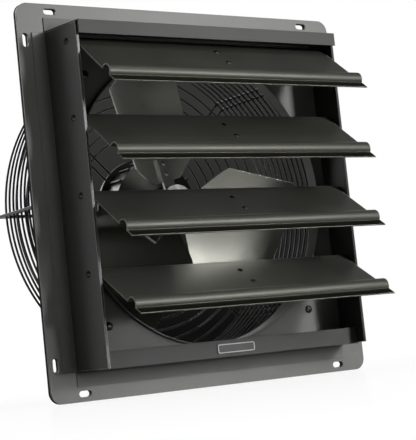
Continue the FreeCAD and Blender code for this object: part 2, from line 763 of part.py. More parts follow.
def spoke_wire(angle, side):
    """One wire of a pair: along the guard's side, round a bend and across its back."""
    outer = float(spoke_circle)
    back = float(guard_rear + S.spoke_wire + S.weld_gap)
    bend = float(S.spoke_bend)
    shift = float(S.spoke_half_gap) * side
    corner = V(outer - bend, back - bend, shift)
    rise = Part.LineSegment(V(outer, float(foot_rear), shift), V(outer, back - bend, shift))
    middle = corner + V(1, 1, 0).normalize() * bend
    turn = Part.Arc(V(outer, back - bend, shift), middle, V(outer - bend, back, shift))
    across = Part.LineSegment(V(outer - bend, back, shift), V(float(S.spoke_inner_radius), back, shift))
    path = Part.Wire([rise.toShape(), turn.toShape(), across.toShape()])
    start = Part.Wire(Part.makeCircle(float(S.spoke_wire), V(outer, float(foot_rear), shift), Y_AXIS))
    wire = path.makePipeShell([start], True, False)
    wire.rotate(V(0, 0, 0), Y_AXIS, -angle)
    return wire


def make_guard_spokes():
    spokes = doc.addObject("Part::Feature", "spoke_wires")
    spokes.Shape = Part.makeCompound([spoke_wire(a, side) for a in DIAGONALS for side in (-1, 1)])
    finish(spokes, "guard_spokes")


def make_guard_feet():
    feet = []
    screws = []
    nuts = []
    bore = S.screw_radius + S.fit_clearance
    grip = S.plate_sheet + S.foot_sheet + S.nut_height
    for angle in DIAGONALS:
        tag = int(angle)
        foot = new_body(f"foot_{tag}")
        start = spoke_circle - S.spoke_wire * 2
        half = S.foot_width / 2
        end = start + S.foot_length
        corners = [(start, -half), (end, -half), (end, half), (start, half)]
        hole = [(guard_screw_circle, ZERO, bore)]
        pad(foot, new_sketch(foot, "XZ_Plane", corners, circles=hole), S.foot_sheet, reverse=True)
        place(foot, y=plate_back, turn=polar_turn(angle))
        feet.append(foot)
        x, z = polar_point(guard_screw_circle, angle)
        screw = domed_pin(f"guard_screw_{tag}", S.screw_head_radius, S.screw_head_height,
                          S.screw_radius, grip)
        screws.append(place(screw, x, plate_front, z))
        nut = doc.addObject("Part::Prism", f"guard_nut_{tag}")
        nut.Polygon = 6
        bind(nut, "Circumradius", S.screw_head_radius)
        bind(nut, "Height", S.nut_height)
        place(nut, x, foot_rear, z, ALONG_Y)
        hole = cylinder(f"guard_nut_hole_{tag}", bore, S.nut_height, x, foot_rear, z, ALONG_Y)
        nuts.append(boolean("Cut", f"guard_nut_cut_{tag}", nut, hole))
    finish(group("foot_group", feet), "guard_feet")
    finish(group("guard_screw_group", screws), "guard_screws")
    finish(group("guard_nut_group", nuts), "guard_nuts")


def make_support_bars():
    """Flat bars on edge that carry the motor plate, bent round the guard's corner."""
    bars = []
    inner = guard_radius + S.guard_wire + S.weld_gap
    front = guard_rear + S.weld_gap
    for angle in QUARTERS:
        bar = new_body(f"bar_{int(angle)}")
        corners = [
            (inner, plate_back),
            (inner + S.bar_depth, plate_back),
            (inner + S.bar_depth, front + S.bar_depth),
            (S.bar_inner_radius, front + S.bar_depth),
            (S.bar_inner_radius, front),
            (inner, front),
        ]
        pad(bar, new_sketch(bar, "XY_Plane", corners), S.bar_sheet, side="Symmetric")
        bars.append(place(bar, turn=polar_turn(angle)))
    finish(group("bar_group", bars), "motor_support_bars")


def make_motor_plate():
    body = new_body("motor_disc")
    bore = S.rivet_radius + S.fit_clearance
    holes = [(*polar_point(S.motor_screw_circle_radius, a), bore) for a in DIAGONALS]
    circles = [(ZERO, ZERO, S.motor_plate_radius)] + holes
    pad(body, new_sketch(body, "XZ_Plane", circles=circles), S.motor_plate_sheet)
    finish(place(body, y=guard_rear), "motor_plate")
    screws = []
    for angle in DIAGONALS:
        x, z = polar_point(S.motor_screw_circle_radius, angle)
        length = S.motor_plate_sheet + S.motor_cover / 2
        name = f"motor_screw_{int(angle)}"
        screw = domed_pin(name, S.rivet_head_radius, S.rivet_head_height, S.rivet_radius, length)
        screws.append(place(screw, x, guard_rear, z, FreeCAD.Rotation(X_AXIS, 180)))
    finish(group("motor_screw_group", screws), "motor_screws")


def make_motor_shells():
    """Finned bell with the front bearing's seat, and the rear cover that closes it."""
    bell = new_body("motor_bell_body")
    neck_step = S.bearing_length + S.motor_wall / 2
    corners = [
        (bearing_bore, neck_front),
        (S.motor_neck_radius, neck_front),
        (S.motor_neck_radius, cone_front),
        (S.motor_radius, barrel_front),
        (S.motor_radius, motor_cover_front),
        (stator_radius, motor_cover_front),
        (stator_radius, barrel_front),
        (bearing_bore, neck_front + neck_step),
    ]
    revolve(bell, corners)
    sketch = new_sketch(bell, "XZ_Plane", [
        (stator_radius + S.motor_wall / 4, -S.fin_sheet / 2),
        (S.motor_radius + S.fin_height, -S.fin_sheet / 2),
        (S.motor_radius + S.fin_height, S.fin_sheet / 2),
        (stator_radius + S.motor_wall / 4, S.fin_sheet / 2),
    ], offset=-motor_cover_front)
    fin = pad(bell, sketch, S.motor_barrel)
    ribs = bell.newObject("PartDesign::PolarPattern", "motor_fins")
    ribs.Originals = [fin]
    ribs.Axis = (origin_feature(bell, "Y_Axis"), [""])
    ribs.Angle = 360
    ribs.Occurrences = int(float(S.fin_count))
    bell.Tip = ribs
    doc.recompute()
    finish(bell, "motor_bell")

    cover = new_body("motor_cover_body")
    seat_end = motor_cover_front + S.bearing_length + S.fit_clearance
    revolve(cover, [
        (bearing_bore, motor_cover_front),
        (S.motor_radius, motor_cover_front),
        (S.motor_radius, motor_plate_front),
        (ZERO, motor_plate_front),
        (ZERO, seat_end),
        (bearing_bore, seat_end),
    ])
    bore = S.rivet_radius + S.fit_clearance
    depth = S.motor_cover / 2 + S.fit_clearance
    holes = []
    for angle in DIAGONALS:
        x, z = polar_point(S.motor_screw_circle_radius, angle)
        y = motor_plate_front - depth
        holes.append(cylinder(f"cover_hole_{int(angle)}", bore, depth * 2, x, y, z, ALONG_Y))
    finish(boolean("Cut", "motor_cover_cut", cover, group("cover_holes", holes)), "motor_rear_cover")


def tube_piece(name, outer, inner, length, y):
    body = new_body(f"{name}_body")
    revolve(body, [(inner, y), (outer, y), (outer, y + length), (inner, y + length)])
    return finish(body, name)


def make_motor_inside():
    core_y = barrel_front + (S.motor_barrel - S.core_length) / 2
    stator_outer = stator_radius - S.fit_clearance
    stator_inner = stator_outer - S.stator_wall
    tube_piece("motor_stator", stator_outer, stator_inner, S.core_length, core_y)
    tube_piece("motor_rotor_core", stator_inner - S.air_gap, shaft_bore, S.core_length, core_y)
    tube_piece("motor_front_bearing", S.bearing_radius, shaft_bore, S.bearing_length, neck_front)
    tube_piece("motor_rear_bearing", S.bearing_radius, shaft_bore, S.bearing_length, motor_cover_front)
    shaft_front = hub_front - S.washer_sheet - S.hub_nut_height - S.motor_wall
    shaft_length = motor_cover_front + S.bearing_length - shaft_front
    shaft = cylinder("shaft", S.shaft_radius, shaft_length, ZERO, shaft_front, ZERO, ALONG_Y)
    finish(shaft, "motor_shaft")


def make_gland():
    """Cable gland on the lower side of the rear cover."""
    middle = motor_cover_front + S.motor_cover / 2
    down = FreeCAD.Rotation(X_AXIS, 180)
    body = cylinder("gland", S.gland_radius, S.gland_length, ZERO, middle, -S.motor_radius, down)
    collar_z = -S.motor_radius - S.gland_length / 3
    collar = cylinder("gland_nut", S.motor_cover / 2, S.gland_length / 3, ZERO, middle, collar_z, down)
    finish(boolean("Fuse", "gland_whole", body, collar), "cable_gland")


def curved_sheet(name, front_radius, thickness, reach):
    """Sheet curved about an axis ahead of it that runs along the paddle's length."""
    outer = cylinder(f"{name}_outer", front_radius + thickness, reach, ZERO, -S.paddle_camber, ZERO, ALONG_X)
    inner = cylinder(f"{name}_inner", front_radius, reach, ZERO, -S.paddle_camber, ZERO, ALONG_X)
    return boolean("Cut", f"{name}_curve", outer, inner)


def paddle_outline():
    tip = tip_radius
    tip_x = (tip * tip - S.paddle_tip_half * S.paddle_tip_half).root()
    upper = [
        (tip_x, S.paddle_tip_half),
        (S.paddle_shoulder + S.paddle_chamfer, S.paddle_shoulder_half),
        (S.paddle_shoulder, S.paddle_shoulder_half - S.paddle_chamfer),
        (S.paddle_root, S.paddle_root_half),
    ]
    lower = [(u, -v) for u, v in reversed(upper)]
    return lower + upper


def paddle_place(obj, index):
    """Pitches a paddle piece about its own length and turns it round the shaft."""
    pitch = FreeCAD.Rotation(X_AXIS, float(S.paddle_angle))
    turn = polar_turn(float(S.paddle_turn_angle) + 360.0 * index / PADDLES)
    return place(obj, y=fan_plane, turn=turn * pitch)


def paddle_holes(name):
    """Holes for a row of rivets along the middle of a paddle."""
    bore = S.rivet_radius + S.fit_clearance
    holes = []
    for row in range(PADDLE_RIVETS):
        along = S.paddle_rivet_distance + S.paddle_rivet_pitch * row
        hole = cylinder(f"{name}_hole_{row}", bore, through_cut / 3, along, -through_cut / 6, ZERO, ALONG_Y)
        holes.append(hole)
    return group(f"{name}_holes", holes)


def make_paddle(index):
    name = f"paddle_{index + 1}"
    body = new_body(f"{name}_plan")
    sketch = new_sketch(body, "XZ_Plane", paddle_outline(), {3: (ZERO, ZERO)})
    pad(body, sketch, tip_radius, side="Symmetric")
    curve = curved_sheet(name, S.paddle_camber, S.paddle_sheet, tip_radius)
    trimmed = boolean("Common", f"{name}_trim", curve, body)
    finish(paddle_place(boolean("Cut", f"{name}_cut", trimmed, paddle_holes(name)), index), name)


def spider_arm(index):
    name = f"arm_{index + 1}"
    plan = doc.addObject("Part::Box", f"{name}_plan")
    start = S.hub_radius / 2
    bind(plan, "Length", S.arm_reach - start)
    bind(plan, "Width", tip_radius)
    bind(plan, "Height", S.arm_half_width * 2)
    place(plan, start, -tip_radius / 2, -S.arm_half_width)
    curve = curved_sheet(name, S.paddle_camber - S.arm_sheet, S.arm_sheet, tip_radius)
    trimmed = boolean("Common", f"{name}_trim", curve, plan)
    return paddle_place(boolean("Cut", f"{name}_cut", trimmed, paddle_holes(name)), index)


def make_spider():
    barrel = cylinder("hub_barrel", S.hub_radius, S.hub_length, ZERO, hub_front, ZERO, ALONG_Y)
    whole = doc.addObject("Part::MultiFuse", "spider_whole")
    whole.Shapes = [barrel] + [spider_arm(i) for i in range(PADDLES)]
    bore = cylinder("hub_bore", shaft_bore, S.hub_length, ZERO, hub_front, ZERO, ALONG_Y)
    finish(boolean("Cut", "spider_cut", whole, bore), "fan_spider")
    washer_y = hub_front - S.washer_sheet
    tube_piece("hub_washer", S.hub_nut_radius + S.washer_sheet, shaft_bore, S.washer_sheet, washer_y)
    nut = doc.addObject("Part::Prism", "hub_hexagon")
    nut.Polygon = 6
    bind(nut, "Circumradius", S.hub_nut_radius)
    bind(nut, "Height", S.hub_nut_height)
    nut_y = washer_y - S.hub_nut_height
    place(nut, ZERO, nut_y, ZERO, ALONG_Y)
    hole = cylinder("hub_nut_hole", shaft_bore, S.hub_nut_height, ZERO, nut_y, ZERO, ALONG_Y)
    finish(boolean("Cut", "hub_nut_cut", nut, hole), "hub_nut")


def make_paddle_rivets():
    rivets = []
    grip = S.paddle_sheet + S.arm_sheet
    for index in range(PADDLES):
        for row in range(PADDLE_RIVETS):
            tag = f"paddle_{index + 1}_rivet_{row}"
            along = S.paddle_rivet_distance + S.paddle_rivet_pitch * row
            head = domed_pin(f"{tag}_head", S.rivet_head_radius, S.rivet_head_height,
                             S.rivet_radius, grip + S.fit_clearance)
            place(head, along, -S.arm_sheet - S.fit_clearance, ZERO)
            tail = cylinder(f"{tag}_tail", S.rivet_head_radius, S.rivet_head_height / 2, along,
                            S.paddle_sheet, ZERO, ALONG_Y)
            rivet = boolean("Fuse", f"{tag}_whole", head, tail)
            rivets.append(paddle_place(rivet, index))
    finish(group("paddle_rivet_group", rivets), "paddle_rivets")


def check_pieces():
    doc.recompute()
    for obj in doc.Objects:
        if "Invalid" in obj.State or "Error" in obj.State:
            raise RuntimeError(f"{obj.Label} failed: {obj.State}")
    for obj in pieces:
        if obj.Shape.isNull() or not obj.Shape.isValid() or not obj.Shape.Solids:
            raise RuntimeError(f"{obj.Label} has no valid solid")


def export_pieces():
    os.makedirs("parts", exist_ok=True)
    for obj in pieces:
        obj.Shape.exportStep(f"parts/{obj.Label}.step")
        print(obj.Label, len(obj.Shape.Solids), round(obj.Shape.Volume))


plate_cutters = slot_cutters()
make_plate(plate_cutters)
make_gasket(plate_cutters)
make_side_panel(-1, "left_side_panel")
make_side_panel(1, "right_side_panel")
plan_prism = housing_plan()
make_hood(plan_prism)
make_sill(plan_prism)
make_badge()
make_pivots(-1, "left")
make_pivots(1, "right")
for louvre in range(LOUVRES):
    make_louvre(louvre)
make_guard_rings()
make_guard_spokes()
make_guard_feet()
make_support_bars()
make_motor_plate()
make_motor_shells()
make_motor_inside()
make_gland()
make_spider()
for paddle in range(PADDLES):
    make_paddle(paddle)
make_paddle_rivets()
check_pieces()
export_pieces()
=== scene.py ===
import json
import math

import bmesh
import bpy
from mathutils import Matrix, Vector


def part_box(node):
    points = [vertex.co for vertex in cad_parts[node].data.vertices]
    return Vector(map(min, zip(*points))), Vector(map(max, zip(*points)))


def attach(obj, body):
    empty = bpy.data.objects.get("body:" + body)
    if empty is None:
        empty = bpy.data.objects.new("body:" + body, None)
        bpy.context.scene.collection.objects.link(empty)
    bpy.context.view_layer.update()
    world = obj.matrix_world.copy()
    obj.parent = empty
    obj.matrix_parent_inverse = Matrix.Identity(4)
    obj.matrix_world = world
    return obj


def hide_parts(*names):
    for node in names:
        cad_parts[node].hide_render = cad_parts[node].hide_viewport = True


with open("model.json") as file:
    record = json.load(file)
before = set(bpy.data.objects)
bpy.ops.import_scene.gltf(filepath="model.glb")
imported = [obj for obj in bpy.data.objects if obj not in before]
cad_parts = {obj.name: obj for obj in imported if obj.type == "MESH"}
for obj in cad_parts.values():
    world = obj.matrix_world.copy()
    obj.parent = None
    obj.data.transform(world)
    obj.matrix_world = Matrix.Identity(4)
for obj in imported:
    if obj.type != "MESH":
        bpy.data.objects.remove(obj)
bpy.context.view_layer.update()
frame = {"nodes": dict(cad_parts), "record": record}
scene = bpy.context.scene
scene.view_settings.view_transform = "Standard"


# Camera of the photograph, in metres, degrees and image pixels
IMAGE_HEIGHT = 440
FOCAL_PIXELS = 1423.18
CAMERA_PLACE = Vector((-0.9044, -1.2957, -0.1748))
CAMERA_AZIMUTH = math.radians(-35.227)
CAMERA_ELEVATION = math.radians(-5.373)
CAMERA_ROLL = math.radians(-5.95)


def set_camera():
    back = Vector((
        math.sin(CAMERA_AZIMUTH) * math.cos(CAMERA_ELEVATION),
        -math.cos(CAMERA_AZIMUTH) * math.cos(CAMERA_ELEVATION),
        math.sin(CAMERA_ELEVATION),
    ))
    level = Vector((0, 0, 1)).cross(back).normalized()
    upright = back.cross(level)
    right = level * math.cos(CAMERA_ROLL) + upright * math.sin(CAMERA_ROLL)
    up = upright * math.cos(CAMERA_ROLL) - level * math.sin(CAMERA_ROLL)
    lens = bpy.data.cameras.new("photo_camera")
    lens.sensor_width = 36
    lens.lens = FOCAL_PIXELS / IMAGE_HEIGHT * lens.sensor_width
    camera = bpy.data.objects.new("photo_camera", lens)
    camera.matrix_world = Matrix.Translation(CAMERA_PLACE) @ Matrix((right, up, back)).transposed().to_4x4()
    scene.collection.objects.link(camera)
    scene.camera = camera


# Finishes
WHITE = (1, 1, 1, 1)


class Shade:
    """A socket in a finish. Arithmetic on shades adds Math nodes to that finish."""

    def __init__(self, nodes, socket):
        self.nodes = nodes
        self.socket = socket

    def maths(self, operation, first, second):
        return self.nodes.node("ShaderNodeMath", {"operation": operation}, {0: first, 1: second})

    def __add__(self, other):
        return self.maths("ADD", self, other)

    __radd__ = __add__

    def __sub__(self, other):
        return self.maths("SUBTRACT", self, other)

    def __rsub__(self, other):
        return self.maths("SUBTRACT", other, self)

    def __mul__(self, other):
        return self.maths("MULTIPLY", self, other)

    __rmul__ = __mul__

    def __truediv__(self, other):
        return self.maths("DIVIDE", self, other)

    def __rtruediv__(self, other):
        return self.maths("DIVIDE", other, self)

    def most(self, other):
        return self.maths("MAXIMUM", self, other)

    def least(self, other):
        return self.maths("MINIMUM", self, other)


class Nodes:
    """The node tree of one finish, with the one way to add a node to it."""

    def __init__(self, tree):
        tree.nodes.clear()
        self.tree = tree

    def node(self, kind, settings=None, sockets=None, output=0):
        made = self.tree.nodes.new(kind)
        for name, setting in (settings or {}).items():
            if name == "stops":
                self.set_stops(made.color_ramp, setting)
            else:
                setattr(made, name, setting)
        for name, value in (sockets or {}).items():
            if isinstance(value, Shade):
                self.tree.links.new(value.socket, made.inputs[name])
            else:
                made.inputs[name].default_value = value
        return Shade(self, made.outputs[output]) if made.outputs else None

    @staticmethod
    def set_stops(ramp, stops):
        while len(ramp.elements) < len(stops):
            ramp.elements.new(1.0)
        for element, (place, level) in zip(ramp.elements, stops):
            element.position = place
            element.color = (level, level, level, 1)

    def place(self):
        return self.node("ShaderNodeTexCoord", output="Object")

    def noise(self, place, size, detail=2.0, roughness=0.5):
        sockets = {"Vector": place, "Scale": 1 / size, "Detail": detail, "Roughness": roughness}
        return self.node("ShaderNodeTexNoise", None, sockets)

    def ramp(self, value, low, high):
        stops = [(low, 0.0), (high, 1.0)]
        return self.node("ShaderNodeValToRGB", {"stops": stops}, {"Fac": value})

    def mix(self, factor, first, second):
        """Mixes two colours. The node repeats its sockets' names for each data type, so they go by number."""
        sockets = {0: factor, 6: first, 7: second}
        return self.node("ShaderNodeMix", {"data_type": "RGBA"}, sockets, 2)

    def stretched(self, place, turn, scale):
        sockets = {"Vector": place, "Rotation": turn, "Scale": scale}
        return self.node("ShaderNodeMapping", None, sockets)

    def edges(self, width):
        """The normal of rounded edges, and how far a point lies in their round, from 0 on the flat."""
        soft = self.node("ShaderNodeBevel", {"samples": 4}, {"Radius": width})
        true = self.node("ShaderNodeNewGeometry", output="Normal")
        return soft, 1 - self.dot(soft, true)

    def dot(self, first, second):
        return self.node("ShaderNodeVectorMath", {"operation": "DOT_PRODUCT"}, {0: first, 1: second}, "Value")

    def folds(self, reach):
        """How far a point lies down in a fold or corner, from 0 on the open."""
        settings = {"samples": 6, "only_local": True}
        return 1 - self.node("ShaderNodeAmbientOcclusion", settings, {"Distance": reach}, "AO")

    def bump(self, height, strength, distance, normal=None):
        sockets = {"Height": height, "Strength": strength, "Distance": distance}
        if normal is not None:
            sockets["Normal"] = normal
        return self.node("ShaderNodeBump", None, sockets)

    def shader(self, **sockets):
        named = {name.replace("_", " "): value for name, value in sockets.items()}
        return self.node("ShaderNodeBsdfPrincipled", None, named)

    def surface(self, shader, kind="ShaderNodeOutputMaterial"):
        self.node(kind, None, {"Surface": shader})


def linear(level):
    """A grey or colour step of 0 to 255 on screen, as the light that it stands for."""
    part = level / 255
    return part / 12.92 if part <= 0.04045 else ((part + 0.055) / 1.055) ** 2.4


def tint(red, green, blue):
    return (linear(red), linear(green), linear(blue), 1.0)


def new_finish(name):
    material = bpy.data.materials.new(name)
    material.use_nodes = True
    return material, Nodes(material.node_tree)


# Detail of paint, with sizes in metres, and the tints of the painted shade in folds and on louvre lips
CLOUD_SIZE = 0.07
SPECK_SIZE = 0.0035
PEEL_SIZE = 0.0011
PEEL_HEIGHT = 0.0003
FOLD_REACH = 0.014
FOLD_SHADE_TINT = tint(12, 12, 12)
LIP_SHADE_TINT = tint(12, 12, 11)


def powder_coat(name, dark, light, roughness, peel, rub_and_highlight_tint, gloss=0.5, rub_and_highlight=0.45, edge_width=0.0007, lip=None,
                gloss_tint=WHITE, flange=None):
    """Stoved paint on sheet or wire: slow tone changes, fine orange peel, painted shade in folds and corners,
    and rubbed edges that also carry a painted highlight.

    lip gives the tip and the upward slope of a louvre's lip, which gets painted shade. The painted shade
    counts as metal, so that it shows no white gloss. flange gives the two tints of the flanges that lie
    on the plate.
    """
    material, n = new_finish(name)
    place = n.place()
    cloud = n.ramp(n.noise(place, CLOUD_SIZE, detail=3), 0.3, 0.7)
    fine = n.noise(place, SPECK_SIZE, detail=4, roughness=0.6)
    skin = n.noise(place, PEEL_SIZE, detail=2)
    soft, edge = n.edges(edge_width)
    rubbed_and_lit_edge = n.ramp(edge * (0.6 + 0.8 * fine), 0.03, 0.2)
    colour = n.mix(cloud, dark, light)
    if flange:
        covered = on_flange(n, place)
        colour = n.mix(covered, colour, n.mix(cloud, *flange))
        rubbed_and_lit_edge = rubbed_and_lit_edge * (1 - covered)
    speck = n.ramp(fine, 0.62, 0.8)
    colour = n.mix(speck * 0.12, colour, rub_and_highlight_tint)
    # Painted shade: the paint darkens where a point lies down in a fold or corner.
    folds = n.folds(FOLD_REACH)
    colour = n.mix(n.ramp(folds, 0.08, 0.45) * 0.8, colour, FOLD_SHADE_TINT)
    # Painted shade on a louvre's lip below its bead: near black, and shaded as metal so that it has no white
    # gloss.
    shade_metallic = 0.0
    if lip:
        lip_shade = painted_lip_shade(n, place, *lip)
        colour = n.mix(lip_shade * 0.9, colour, LIP_SHADE_TINT)
        shade_metallic = lip_shade * (1 - rubbed_and_lit_edge)
    # Edges take the pale tint, which is partly wear and partly a painted highlight.
    colour = n.mix(rubbed_and_lit_edge * (1 - n.ramp(folds, 0.08, 0.25)) * rub_and_highlight, colour, rub_and_highlight_tint)
    rough = roughness + 0.06 * (fine - 0.5) + 0.05 * (cloud - 0.5) - 0.08 * rubbed_and_lit_edge
    normal = n.bump(skin, peel, PEEL_HEIGHT, soft)
    n.surface(n.shader(Base_Color=colour, Roughness=rough, Metallic=shade_metallic, Normal=normal,
                       Specular_IOR_Level=gloss, Specular_Tint=gloss_tint))
    return material


# Front of the housing's flanges and width of a louvre's lip, in metres
FLANGE_FRONT = -0.0072
FLANGE_BLEND = 0.0004
LIP_WIDTH = 0.0108


def on_flange(n, place):
    """1 on the flanges that lie on the plate and 0 on the walls in front of them."""
    depth = n.node("ShaderNodeSeparateXYZ", None, {0: place}, "Y")
    return n.ramp((depth - FLANGE_FRONT + FLANGE_BLEND) / FLANGE_BLEND, 0.0, 1.0)


def painted_lip_shade(n, place, tip, up_slope):
    """Painted shade: 1 on the lip below a louvre's bead, fading to 0 where the bead starts."""
    offset = n.node("ShaderNodeVectorMath", {"operation": "SUBTRACT"}, {0: place, 1: tip})
    height = n.dot(offset, up_slope)
    return 1 - n.ramp(height / LIP_WIDTH * 0.5, 0.44, 0.56)


# Detail of metal, castings and plastic, with sizes in metres
ROLLED_LINE = 0.0009
HANDLING_MARK = 0.055
BLADE_EDGE = 0.0002
TARNISH_SIZE = 0.006
SCRATCH_SIZE = 0.0012
FASTENER_EDGE = 0.0004
FINE_RELIEF = 0.0001
SAND_SIZE = 0.0013
SAND_RELIEF = 0.0003
PAINT_POOL = 0.018
CASTING_EDGE = 0.0009
GREYED_EDGE = tint(70, 70, 68)
MOULD_GRAIN = 0.0006
MOULD_CLOUD = 0.01
MOULD_EDGE = 0.0005


def sheet_metal(name, dark, light, roughness, turn, grain):
    """Bare rolled metal: long fine grain, cloudy handling marks and bright edges."""
    material, n = new_finish(name)
    place = n.place()
    along = n.stretched(place, (0, turn, 0), (1 / grain, 1, 1))
    lines = n.noise(along, ROLLED_LINE, detail=3, roughness=0.65)
    marks = n.ramp(n.noise(place, HANDLING_MARK, detail=2, roughness=0.4), 0.25, 0.8)
    soft, edge = n.edges(BLADE_EDGE)
    bright = n.ramp(edge, 0.05, 0.35)
    colour = n.mix(marks * 0.35, light, dark)
    colour = n.mix(lines * 0.3, colour, dark)
    colour = n.mix(bright * 0.5, colour, light)
    rough = roughness + 0.12 * (lines - 0.5) + 0.04 * (marks - 0.5) - 0.06 * bright
    normal = n.bump(lines, 0.12, FINE_RELIEF, soft)
    n.surface(n.shader(Base_Color=colour, Roughness=rough, Normal=normal, Metallic=1.0))
    return material


def plated_steel(name, dark, light, roughness):
    """Zinc or oxide on small turned pieces: soft clouds, fine scratches and rims rubbed bright."""
    material, n = new_finish(name)
    place = n.place()
    dull = n.ramp(n.noise(place, TARNISH_SIZE, detail=4), 0.3, 0.75)
    across = n.stretched(place, turn=(0.3, 0.2, 0.1), scale=(1, 12, 1))
    scratch = n.noise(across, SCRATCH_SIZE, detail=3, roughness=0.7)
    soft, edge = n.edges(FASTENER_EDGE)
    bright = n.ramp(edge, 0.05, 0.3)
    colour = n.mix(dull * 0.7 + scratch * 0.2, light, dark)
    colour = n.mix(bright * 0.6, colour, light)
    rough = roughness + 0.10 * (scratch - 0.5) + 0.08 * (dull - 0.5)
    normal = n.bump(scratch, 0.08, FINE_RELIEF, soft)
    n.surface(n.shader(Base_Color=colour, Roughness=rough, Normal=normal, Metallic=1.0))
    return material


def cast_black(name, dark, light, roughness):
    """Painted casting: sand grain under a glossy coat, with greyed edges."""
    material, n = new_finish(name)
    place = n.place()
    sand = n.noise(place, SAND_SIZE, detail=3, roughness=0.6)
    pool = n.ramp(n.noise(place, PAINT_POOL, detail=3), 0.35, 0.7)
    soft, edge = n.edges(CASTING_EDGE)
    grey = n.ramp(edge * (0.5 + sand), 0.05, 0.45)
    colour = n.mix(pool, dark, light)
    colour = n.mix(grey * 0.5, colour, GREYED_EDGE)
    rough = roughness + 0.15 * (sand - 0.5) + 0.08 * (pool - 0.5)
    normal = n.bump(sand, 0.3, SAND_RELIEF, soft)
    n.surface(n.shader(Base_Color=colour, Roughness=rough, Normal=normal, Specular_IOR_Level=0.4))
    return material


def moulded_plastic(name, dark, light, roughness):
    """Spark-eroded mould skin with rubbed, shinier edges."""
    material, n = new_finish(name)
    place = n.place()
    grain = n.noise(place, MOULD_GRAIN, detail=2, roughness=0.6)
    cloud = n.noise(place, MOULD_CLOUD, detail=3)
    soft, edge = n.edges(MOULD_EDGE)
    rubbed = n.ramp(edge, 0.05, 0.4)
    colour = n.mix(cloud, dark, light)
    rough = roughness + 0.12 * (grain - 0.5) - 0.15 * rubbed
    normal = n.bump(grain, 0.25, FINE_RELIEF, soft)
    n.surface(n.shader(Base_Color=colour, Roughness=rough, Normal=normal, Specular_IOR_Level=0.35))
    return material


FOAM_CELLS_PER_METRE = 900.0
FOAM_RELIEF = 0.0006
FOAM_CLOUD = 0.004


def closed_foam(name):
    """Black sealing foam: cut cells of mixed size, dull, with dusty rims."""
    material, n = new_finish(name)
    place = n.place()
    sockets = {"Vector": place, "Scale": FOAM_CELLS_PER_METRE, "Randomness": 1.0}
    cells = n.node("ShaderNodeTexVoronoi", {"feature": "F1"}, sockets, "Distance")
    coarse = n.noise(place, FOAM_CLOUD, detail=3)
    rim = n.ramp(cells, 0.25, 0.6)
    colour = n.mix(rim * (0.5 + 0.5 * coarse), tint(14, 14, 14), tint(44, 43, 41))
    rough = 0.9 + 0.08 * (coarse - 0.5)
    normal = n.bump(cells, 0.6, FOAM_RELIEF)
    n.surface(n.shader(Base_Color=colour, Roughness=rough, Normal=normal, Specular_IOR_Level=0.15))
    return material


LAMINATION_SCALE = 320.0
LAMINATION_RELIEF = 0.0002
VARNISH_STAIN = 0.008


def laminations(name):
    """Stack of punched iron sheets, a millimetre each, with varnish stains."""
    material, n = new_finish(name)
    place = n.place()
    waves = {"wave_type": "BANDS", "bands_direction": "Y", "wave_profile": "SIN"}
    sheets = n.node("ShaderNodeTexWave", waves, {"Vector": place, "Scale": LAMINATION_SCALE}, "Fac")
    stain = n.ramp(n.noise(place, VARNISH_STAIN, detail=4), 0.4, 0.7)
    colour = n.mix(stain, tint(128, 122, 114), tint(84, 62, 40))
    rough = 0.45 + 0.2 * (stain - 0.5)
    normal = n.bump(sheets, 0.4, LAMINATION_RELIEF)
    n.surface(n.shader(Base_Color=colour, Roughness=rough, Normal=normal, Metallic=0.8))
    return material


# The plate shares one charcoal coat with the louvres: its lighter tints are painted light.
PLATE_TINTS = (tint(102, 102, 100), tint(112, 112, 109))
FINISHES = {
    "plate_paint": powder_coat("charcoal_plate_paint", *PLATE_TINTS, roughness=0.42, peel=0.12,
                               rub_and_highlight_tint=tint(150, 150, 146), gloss=0.35),
    "gasket_foam": closed_foam("black_gasket_foam"),
    "badge_blank": moulded_plastic("bare_badge_face", tint(36, 36, 36), tint(48, 48, 47), roughness=0.4),
    "fastener_steel": plated_steel("zinc_fasteners", tint(150, 149, 144), tint(196, 195, 190),
                                   roughness=0.32),
    "dark_screws": plated_steel("blackened_screws", tint(36, 36, 36), tint(78, 78, 76), roughness=0.26),
    "weight_steel": powder_coat("black_weight_paint", tint(30, 30, 29), tint(42, 42, 40), roughness=0.5,
                                peel=0.2, rub_and_highlight_tint=tint(90, 88, 84)),
    "spacer_nylon": moulded_plastic("black_spacer_nylon", tint(22, 22, 22), tint(34, 34, 34), roughness=0.45),
    "guard_black": powder_coat("black_guard_coat", tint(10, 10, 10), tint(18, 18, 18), roughness=0.28,
                               peel=0.05, rub_and_highlight_tint=tint(56, 56, 55), gloss=0.4),
    "motor_black": cast_black("black_motor_casting", tint(11, 11, 11), tint(22, 22, 22), roughness=0.36),
    "motor_core": laminations("motor_laminations"),
    "gland_plastic": moulded_plastic("black_gland_plastic", tint(20, 20, 20), tint(30, 30, 30),
                                     roughness=0.42),
    "hub_metal": plated_steel("bright_hub_zinc", tint(186, 186, 182), tint(226, 226, 222), roughness=0.22),
}
RAIL_PAINT = powder_coat("dull_rail_paint", tint(56, 56, 55), tint(63, 63, 61), roughness=0.5, peel=0.12,
                         rub_and_highlight_tint=tint(132, 132, 128), gloss=0.25, flange=PLATE_TINTS)
